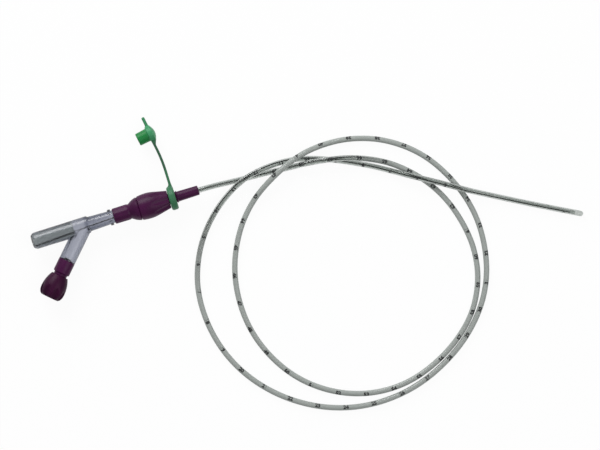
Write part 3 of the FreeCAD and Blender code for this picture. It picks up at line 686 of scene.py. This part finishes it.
# The green's tone by part, and in the head by (place along its axis, tone)
# The strap's dark tone is painted shade
STRAP_SHADE_TONE, RING_TONE, FOOT_TONE, TAB_TONE = 0.0, 0.3, 0.3, 0.48
HEAD_TONES = [(-4.6, 1.0), (-0.9, 1.0), (-0.3, 0.6), (3.0, 0.6)]
FOOT_START, FOOT_END, TAB_START = 1.4, -2.7, 3.1
CAP_VOXEL = 0.11


def strap_point(turn):
    """The middle of the strap where it has turned so far on its bend."""
    return (STRAP_PLACE - STRAP_BEND * (1 - math.cos(turn)),
            STRAP_STRAIGHT_END + STRAP_BEND * math.sin(turn), 0)


def cap_place():
    """The cap turns down about the hub's axis until its flange rests on the floor."""
    head_y = strap_point(STRAP_TURN)[1] + HEAD_REACH * math.cos(STRAP_TURN)
    swing = math.hypot(head_y, FLANGE_RADIUS)
    drop = math.asin((HUB_RADIUS - 0.02) / swing) - math.atan2(FLANGE_RADIUS, head_y)
    return hub_place() @ Matrix.Rotation(-drop, 4, "X")


def strap_end():
    """From the frame of the strap's end to the cap's."""
    return Matrix.Translation(strap_point(STRAP_TURN)) @ Matrix.Rotation(STRAP_TURN, 4, "Z")


def bar_mesh(name, sections, place, sides=20):
    """A bar through rounded rectangular sections: (centre, across way, half across, half high)."""
    form = bmesh.new()
    rings = []
    for centre, across, half_across, half_high in sections:
        ring = []
        for number in range(sides):
            angle = 2 * math.pi * number / sides
            cosine, sine = math.cos(angle), math.sin(angle)
            square = 1 / (abs(cosine) ** 4 + abs(sine) ** 4) ** 0.25
            offset = Vector(across) * (half_across * cosine * square)
            offset += UP * (half_high * sine * square)
            ring.append(form.verts.new(Vector(centre) + offset))
        rings.append(ring)
    for ring, follower in zip(rings, rings[1:]):
        bridged(form, ring, follower)
    form.faces.new(rings[0])
    form.faces.new(rings[-1])
    bmesh.ops.recalc_face_normals(form, faces=form.faces)
    mesh = mesh_of(form, name)
    mesh.transform(place)
    return mesh


def straight(places):
    """Sections of a bar along Y, from (x, y, half across) and, where it thins, half its thickness."""
    return [((x, y, 0), (1, 0, 0), half_across, *(half_high or [HALF_THICKNESS]))
            for x, y, half_across, *half_high in places]


def cap_tone(point):
    """The green's tone at a point of the cap, given in the frame of the strap's end; the strap's is
    painted shade.
    """
    if point.y < 1.0 - STRAP_STRAIGHT_END:
        return RING_TONE
    if point.y < FOOT_START:
        # The strap is darkened as painted shade
        return STRAP_SHADE_TONE
    if point.y > HEAD_REACH + TAB_START:
        return TAB_TONE
    if point.y < HEAD_REACH + FOOT_END:
        return FOOT_TONE
    return between(HEAD_TONES, point.x)


def ring_and_strap():
    start, end = RING_START - RING_LEAD, RING_START + RING_WIDTH
    ring = lathe_mesh("cap_ring", [
        (start, RING_BORE_RADIUS, 0.1), (start, RING_EDGE_RADIUS, 0.15),
        (start + RING_BEVEL, RING_RADIUS, 0.3), (end - RING_BEVEL, RING_RADIUS, 0.3),
        (end, RING_EDGE_RADIUS, 0.15), (end, RING_BORE_RADIUS, 0.1)],
        Matrix(), closed=True)
    sections = straight([
        (STRAP_PLACE - STRAP_OFFSET, 3.6, 1.1), (STRAP_PLACE - 0.4, 4.1, 1.0),
        (STRAP_PLACE - 0.1, 4.6, 0.65), (STRAP_PLACE, 5.1, 0.5), (STRAP_PLACE, 5.8, HALF_STRAP)])
    for step in range(STRAP_STEPS + 1):
        turn = STRAP_TURN * step / STRAP_STEPS
        across = (math.cos(turn), math.sin(turn), 0)
        sections.append((strap_point(turn), across, HALF_STRAP, HALF_THICKNESS))
    return [ring, bar_mesh("cap_strap", sections, Matrix())]


def foot_tab_and_head():
    """What lies in the frame of the strap's end: its widening foot, the head, and the tab beyond."""
    foot = bar_mesh("cap_foot", straight([
        (0, -0.4, HALF_STRAP), (0, 0.6, HALF_STRAP), (0.1, 1.1, 0.58), (0.25, 1.6, 0.73),
        (0.45, 2.3, 0.95), (0.45, 3.2, 0.95)]), strap_end())
    tab = bar_mesh("cap_tab", straight([
        (0.45, HEAD_REACH + 2.2, 0.85), (0.5, HEAD_REACH + 2.9, 0.65),
        (0.57, HEAD_REACH + 3.6, 0.575), (0.6, HEAD_REACH + 6.0, 0.575),
        (0.6, HEAD_REACH + 6.3, 0.45, 0.85), (0.6, HEAD_REACH + 6.4, 0.2, 0.6)]), strap_end())
    head = lathe_mesh("cap_head", [
        (PLUG_END, PLUG_BORE_RADIUS, 0.1), (PLUG_END, PLUG_RADIUS, 0.25),
        (FLANGE_START, PLUG_ROOT_RADIUS, 0.15), (FLANGE_START, FLANGE_RADIUS, 0.3),
        (FLANGE_END, FLANGE_RADIUS, 0.3)]
        + bulge((FLANGE_END, CROWN_RADIUS), (CROWN, 0), rise=0.19)[1:-1]
        + [(CROWN, 0), (PLUG_BORE_TOP, 0), (PLUG_BORE_TOP, PLUG_BORE_RADIUS)],
        strap_end() @ Matrix.Translation((0, HEAD_REACH, 0)), closed=True)
    return [foot, tab, head]


def build_cap():
    cap = joined("cap", ring_and_strap() + foot_tab_and_head())
    remesh = cap.modifiers.new("melt", "REMESH")
    remesh.mode = "VOXEL"
    remesh.voxel_size = CAP_VOXEL
    soften = cap.modifiers.new("soften", "SMOOTH")
    soften.iterations = 4
    soften.factor = 0.5
    apply_modifiers(cap)
    from_strap_end = strap_end().inverted()
    tones = [cap_tone(from_strap_end @ vertex.co) for vertex in cap.data.vertices]
    cap.data.attributes.new(TONE_AND_SHADE, "FLOAT", "POINT").data.foreach_set("value", tones)
    cap.data.transform(cap_place())
    smooth(cap, 60)
    finish_piece(cap, GREEN, "cap_plastic", "tether_cap", "tethered_cap")


build_cap()

# The tube's route, as in the frame: along the hub's axis, to its left, and height over the floor
AXIS_HEIGHT = MOUTH.z
TUBE_ROUTE = [
    (16.0, 0.0, AXIS_HEIGHT), (26.0, 0.0, AXIS_HEIGHT),
    (35.6, -0.8, 1.3), (44.5, -1.2, 1.0), (54.7, -1.9, 1.0), (64.6, -2.5, 3.6), (76.3, -4.7, 3.6),
    (84.6, -7.9, 1.0), (91.6, -12.0, 1.0), (99.4, -19.4, 1.0), (105.2, -28.4, 1.0),
    (108.6, -38.9, 1.0), (109.8, -49.5, 1.0), (107.8, -60.9, 1.0), (101.4, -72.4, 1.0),
    (89.5, -81.9, 1.0), (74.5, -87.9, 1.0), (59.7, -88.1, 1.0), (45.9, -83.1, 1.0),
    (34.3, -73.6, 1.0), (26.6, -60.4, 1.0), (23.6, -46.8, 1.0), (25.0, -31.7, 1.0),
    (31.0, -18.6, 1.0), (38.9, -9.5, 1.0), (48.2, -3.6, 3.6), (59.0, 1.1, 3.6), (69.2, 2.5, 1.0),
    (79.7, 1.6, 1.0), (91.2, -2.6, 1.0), (102.0, -11.0, 1.0), (109.3, -22.3, 1.0),
    (113.6, -35.0, 1.0), (114.0, -47.5, 1.0), (111.2, -60.4, 1.0), (104.6, -71.8, 1.0),
    (93.1, -82.3, 1.0), (76.4, -90.2, 1.0), (58.8, -92.0, 1.0), (42.4, -88.2, 1.0),
    (27.7, -79.1, 1.0), (16.8, -66.2, 1.0), (11.0, -51.1, 1.0), (10.4, -34.3, 1.0),
    (15.8, -19.9, 1.0), (24.8, -9.0, 1.0), (36.5, -1.5, 3.7), (45.0, 0.4, 3.6), (53.7, 0.9, 1.0),
    (61.9, -0.4, 1.0), (72.3, -4.4, 1.0), (83.6, -10.1, 1.0), (90.2, -14.2, 1.4),
    (97.1, -18.5, 3.6), (104.6, -22.9, 3.8), (112.7, -28.1, 3.6), (121.0, -32.8, 1.0),
    (136.1, -41.3, 1.0), (150.4, -48.9, 1.0),
]


def route_points(route):
    return [Vector((MOUTH.x + along, MOUTH.y + left, height)) for along, left, height in route]


def spline_of(points, resolution=10):
    """The smooth line that a cord follows: a NURBS spline with the route's points as its controls."""
    curve = bpy.data.curves.new("route", "CURVE")
    curve.dimensions = "3D"
    spline = curve.splines.new("NURBS")
    spline.points.add(len(points) - 1)
    for point, place in zip(spline.points, points):
        point.co = (*place, 1)
    spline.order_u = 3
    spline.use_endpoint_u = True
    spline.resolution_u = resolution
    holder = new_object("route", curve)
    line = final_mesh(holder)
    followed = [vertex.co.copy() for vertex in line.vertices]
    bpy.data.objects.remove(holder)
    bpy.data.meshes.remove(line)
    return followed


class Line:
    """A followed line with its lengths, its directions and a level side at each point."""

    def __init__(self, points):
        self.points = points
        self.lengths = [0.0]
        for before, after in zip(points, points[1:]):
            self.lengths.append(self.lengths[-1] + (after - before).length)
        self.ways = []
        for index in range(len(points)):
            before, after = points[max(index - 1, 0)], points[min(index + 1, len(points) - 1)]
            self.ways.append((after - before).normalized())

    @property
    def length(self):
        return self.lengths[-1]

    def at(self, distance):
        """Place, direction, level side and upright at a distance along the line."""
        index = next((number for number, length in enumerate(self.lengths) if length >= distance),
                     len(self.lengths) - 1)
        index = max(index, 1)
        before, after = self.lengths[index - 1:index + 1]
        share = (distance - before) / (after - before)
        place = self.points[index - 1].lerp(self.points[index], share)
        way = self.ways[index - 1].lerp(self.ways[index], share).normalized()
        side = UP.cross(way).normalized()
        return place, way, side, way.cross(side)


def swept_mesh(name, line, profile, sides):
    """A round form along a line. profile is (distance along, radius) pairs."""
    form = bmesh.new()
    rings = []
    for distance, radius in profile:
        place, _, side, upright = line.at(distance)
        if radius < ON_AXIS:
            rings.append([form.verts.new(place)])
            continue
        ring = []
        for number in range(sides):
            angle = 2 * math.pi * number / sides
            outwards = side * math.cos(angle) + upright * math.sin(angle)
            ring.append(form.verts.new(place + outwards * radius))
        rings.append(ring)
    for ring, follower in zip(rings, rings[1:]):
        bridged(form, ring, follower)
    bmesh.ops.recalc_face_normals(form, faces=form.faces)
    return mesh_of(form, name)


TUBE_LINE = Line(spline_of(route_points(TUBE_ROUTE)))
TIP_WALL = 2.0
EYE_RADIUS, EYE_FIRST, EYE_SPACING = 0.45, 7.0, 6.0
EYE_CUTTER_END = TUBE_RADIUS + 0.5
RING_STEP = 1.0
OUTSIDE_SIDES, INSIDE_SIDES = 28, 20
TIP_TURNS = [math.radians(turn) for turn in (15, 30, 45, 60, 75)]
# Haze along the tube: (millimetres from its seat, haze)
TUBE_HAZE = [(0, 0.0), (62, 0.0), (82, 1.0), (560, 1.0), (595, 0.0), (740, 0.0)]


def tube_skin(name, profile, sides):
    """One side of the tube's wall, with its haze at each point, ring after ring."""
    mesh = swept_mesh(name, TUBE_LINE, profile, sides)
    haze = mesh.attributes.new(HAZE, "FLOAT", "POINT")
    values = []
    for distance, radius in profile:
        values += [between(TUBE_HAZE, distance)] * (1 if radius < ON_AXIS else sides)
    haze.data.foreach_set("value", values)
    return mesh


def side_eyes():
    """Cutters for the two holes in the tube's sides near its tip, on opposite sides."""
    cutters = []
    for number, way in enumerate((-1, 1)):
        place, _, side, _ = TUBE_LINE.at(TUBE_LINE.length - EYE_FIRST - number * EYE_SPACING)
        aim = (side * way).to_track_quat("X", "Z").to_matrix().to_4x4()
        cutters.append(lathe("side_eye", [
            (0, 0), (0, EYE_RADIUS), (EYE_CUTTER_END, EYE_RADIUS), (EYE_CUTTER_END, 0)],
            Matrix.Scale(MM, 4) @ Matrix.Translation(place) @ aim, segments=24))
    return cutters


def build_tube():
    """The hollow tube: outside from the seat to the round tip, then back along the lumen."""
    length = TUBE_LINE.length
    body_end = length - TUBE_RADIUS
    steps = int(body_end / RING_STEP)
    outside = [(body_end * step / steps, TUBE_RADIUS) for step in range(steps + 1)]
    dome = [(body_end + TUBE_RADIUS * math.sin(turn), TUBE_RADIUS * math.cos(turn))
            for turn in TIP_TURNS]
    lumen_end = body_end - TIP_WALL
    inside = [(lumen_end, 0.0), (lumen_end, LUMEN_RADIUS)]
    inside += [(lumen_end * (1 - step / steps), LUMEN_RADIUS) for step in range(1, steps + 1)]
    outer = outside + dome + [(length, 0.0)]
    outside_skin = tube_skin("tube_outside", outer, OUTSIDE_SIDES)
    inside_skin = tube_skin("tube_inside", inside, INSIDE_SIDES)
    inside_skin.flip_normals()
    tube = closed_off(joined("tube", [outside_skin, inside_skin]), bmesh.ops.bridge_loops)
    tube.data.transform(Matrix.Scale(MM, 4))
    boolean(tube, side_eyes(), "DIFFERENCE")
    smooth(tube, 60)
    finish_piece(tube, TUBE, "tube_plastic", "hub", "feeding_tube")


build_tube()

# Stylet: from the filling along the tube's route to just short of its tip
STYLET_RADIUS = 0.2
STYLET_SIDES = 10
STYLET_START = (-38.7, -1.3, AXIS_HEIGHT)
STYLET_SHORT = 4.8
# It leans to the outer side of the tube's bends, after its straight start, and most at the tip
STYLET_LEAN = 0.36
LEAN_CURVE = 1 / 60
LEAN_START, LEAN_FADE, LEAN_REACH = 64.0, 20.0, 12
TIP_LEAN, TIP_STRAND, TIP_FADE = 0.6, 150.0, 60.0


def leaning(line):
    """The line moved in the lumen towards the outer side of its bends."""
    points = []
    tip_start = line.length - TIP_STRAND
    for index, point in enumerate(line.points):
        low, high = max(index - LEAN_REACH, 0), min(index + LEAN_REACH, len(line.points) - 1)
        turn = line.ways[low].cross(line.ways[high]).z / (line.lengths[high] - line.lengths[low])
        side = UP.cross(line.ways[index]).normalized()
        fade = unit((line.lengths[index] - LEAN_START) / LEAN_FADE)
        tip = TIP_LEAN * unit((line.lengths[index] - tip_start) / TIP_FADE)
        lean = max(-1, min(1, turn / LEAN_CURVE + tip))
        points.append(point - side * (STYLET_LEAN * fade * lean))
    return Line(points)


def build_stylet():
    route = [STYLET_START, (0.0, 0.0, AXIS_HEIGHT)] + TUBE_ROUTE[1:]
    line = leaning(Line(spline_of(route_points(route))))
    end = line.length - STYLET_SHORT
    steps = int(end / RING_STEP)
    profile = [(0.0, 0.0)] + [(end * step / steps, STYLET_RADIUS) for step in range(steps + 1)]
    profile.append((end, 0.0))
    stylet = new_object("stylet_wire", swept_mesh("stylet_wire", line, profile, STYLET_SIDES))
    stylet.data.transform(Matrix.Scale(MM, 4))
    smooth(stylet, 50)
    finish_piece(stylet, STEEL, "stylet_steel", None, "stylet")
    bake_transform(stylet)


build_stylet()

# Printed marks, one each centimetre from the tip: (number, millimetres from the tip)
MARK_FIRST, MARK_LAST = 5, 70
MARK_PLACES = [(0, 0.0), (5, 50.6), (10, 101.0), (14, 140.0), (15, 150.5), (17, 170.5), (19, 193.0),
               (22, 223.6), (25, 254.0), (28, 286.0), (36, 367.5), (38, 387.0), (40, 407.5),
               (64, 647.0), (66, 666.0), (70, 707.0)]
MARK_SIZE = 1.9
MARK_BOLDNESS = 0.11
MARK_LIFT = 0.012
# Edges longer than this are cut, so that a number can bend
MARK_EDGE = 0.3
# How far the print has turned round the tube, in radians towards the loops' outer side
MARK_ROLL = [(0, -0.3), (70, -0.3), (100, -0.2), (140, 0.0), (160, -0.2), (170, -0.4), (180, 0.0),
             (190, 0.0), (220, -0.25), (300, 0.2), (355, 0.7), (415, 0.7), (460, 0.3), (560, 0.5),
             (640, 0.2), (740, 0.0)]


def number_mesh(number):
    """A flat number, centred on its own middle."""
    text = bpy.data.curves.new("mark", "FONT")
    text.body = str(number)
    text.size = MARK_SIZE
    text.offset = MARK_BOLDNESS
    text.align_x = "CENTER"
    text.align_y = "CENTER"
    text.resolution_u = 2
    holder = new_object("mark", text)
    mesh = final_mesh(holder)
    bpy.data.objects.remove(holder)
    return mesh


def build_marks():
    form = bmesh.new()
    length = TUBE_LINE.length
    for number in range(MARK_FIRST, MARK_LAST + 1):
        digits = bmesh.new()
        digits.from_mesh(number_mesh(number))
        bmesh.ops.triangulate(digits, faces=digits.faces)
        long_edges = [edge for edge in digits.edges if edge.calc_length() > MARK_EDGE]
        bmesh.ops.subdivide_edges(digits, edges=long_edges, cuts=2)
        bmesh.ops.triangulate(digits, faces=digits.faces)
        from_tip = between(MARK_PLACES, number)
        roll = between(MARK_ROLL, from_tip)
        new_verts = {}
        for vertex in digits.verts:
            place, _, side, upright = TUBE_LINE.at(length - from_tip - vertex.co.x)
            angle = roll - vertex.co.y / TUBE_RADIUS
            outwards = upright * math.cos(angle) + side * math.sin(angle)
            new_verts[vertex] = form.verts.new(place + outwards * (TUBE_RADIUS + MARK_LIFT))
        for face in digits.faces:
            form.faces.new([new_verts[vertex] for vertex in face.verts])
        digits.free()
    marks = new_object("tube_marks", mesh_of(form, "tube_marks"))
    marks.data.transform(Matrix.Scale(MM, 4))
    finish_piece(marks, INK, None, "hub")


build_marks()

# Camera: straight above, rolled so that the hub's axis climbs to the right as in the photograph
PIXEL, IMAGE_WIDTH = 0.357, 600
VIEW_CENTRE = Vector((MOUTH.x + 52.8, MOUTH.y - 22.63, 0))
VIEW_ROLL = math.radians(17.3)
FRAME_WIDTH = IMAGE_WIDTH * PIXEL
SENSOR = 36.0
LENS = 300.0

camera_data = bpy.data.cameras.new("camera")
camera_data.lens = LENS
camera_data.sensor_width = SENSOR
camera_data.clip_start = 0.01
camera_data.clip_end = 10
camera = new_object("camera", camera_data)
camera.location = (VIEW_CENTRE + UP * (FRAME_WIDTH * LENS / SENSOR)) * MM
camera.rotation_euler = (0, 0, -VIEW_ROLL)
bpy.context.scene.camera = camera

# Floor, world and lamps
FLOOR_SIZE = 3.0
FLOOR_GLOW = 0.94
SKY_LEVEL, SKY_TOP = 0.35, 0.4


def floor_material():
    """Pale floor: white where the camera or glass sees it lit, and softly shaded under the object."""
    made = material("floor", 0.9, (0.93, 0.93, 0.94, 1), specular_ior_level=0.1)
    path = node(made, "ShaderNodeLightPath")
    seen, seen_too, share = (node(made, "ShaderNodeMath") for _ in range(3))
    seen.operation = seen_too.operation = "MAXIMUM"
    share.operation = "MULTIPLY"
    share.inputs[1].default_value = FLOOR_GLOW
    glow = node(made, "ShaderNodeEmission", color=(1, 1, 1, 1), strength=1.0)
    mix = node(made, "ShaderNodeMixShader")
    link(made, path, "Is Camera Ray", seen, 0)
    link(made, path, "Is Glossy Ray", seen, 1)
    link(made, seen, "Value", seen_too, 0)
    link(made, path, "Is Transmission Ray", seen_too, 1)
    link(made, seen_too, "Value", share, 0)
    link(made, share, "Value", mix, "Fac")
    link(made, shader_of(made), "BSDF", mix, 1)
    link(made, glow, "Emission", mix, 2)
    link(made, mix, "Shader", output_of(made), "Surface")
    return made


floor_mesh = bpy.data.meshes.new("floor")
half = FLOOR_SIZE / 2
corners = [(-half, -half, 0), (half, -half, 0), (half, half, 0), (-half, half, 0)]
floor_mesh.from_pydata(corners, [], [(0, 1, 2, 3)])
floor = new_object("floor", floor_mesh)
floor.data.materials.append(floor_material())

world = bpy.data.worlds.new("studio")
bpy.context.scene.world = world
world.use_nodes = True
sky = world.node_tree.nodes["Background"]
sky.inputs["Color"].default_value = (1, 1, 1, 1)
direction = node(world, "ShaderNodeTexCoord")
height = node(world, "ShaderNodeSeparateXYZ")
strength = node(world, "ShaderNodeMapRange", to_min=SKY_LEVEL, to_max=SKY_TOP)
link(world, direction, "Generated", height, "Vector")
link(world, height, "Z", strength, "Value")
link(world, strength, "Result", sky, "Strength")


def lamp(name, place, size, energy):
    light = bpy.data.lights.new(name, "AREA")
    light.shape = "SQUARE"
    light.size = size
    light.energy = energy
    holder = new_object(name, light)
    holder.location = place
    target = VIEW_CENTRE * MM
    holder.rotation_euler = (Vector(place) - target).to_track_quat("Z", "Y").to_euler()


lamp("key", (-0.1, 0.85, 0.5), size=0.6, energy=7.4)
lamp("fill", (0.5, -0.3, 0.85), size=0.8, energy=3.1)

bpy.context.scene.view_settings.view_transform = "Standard"
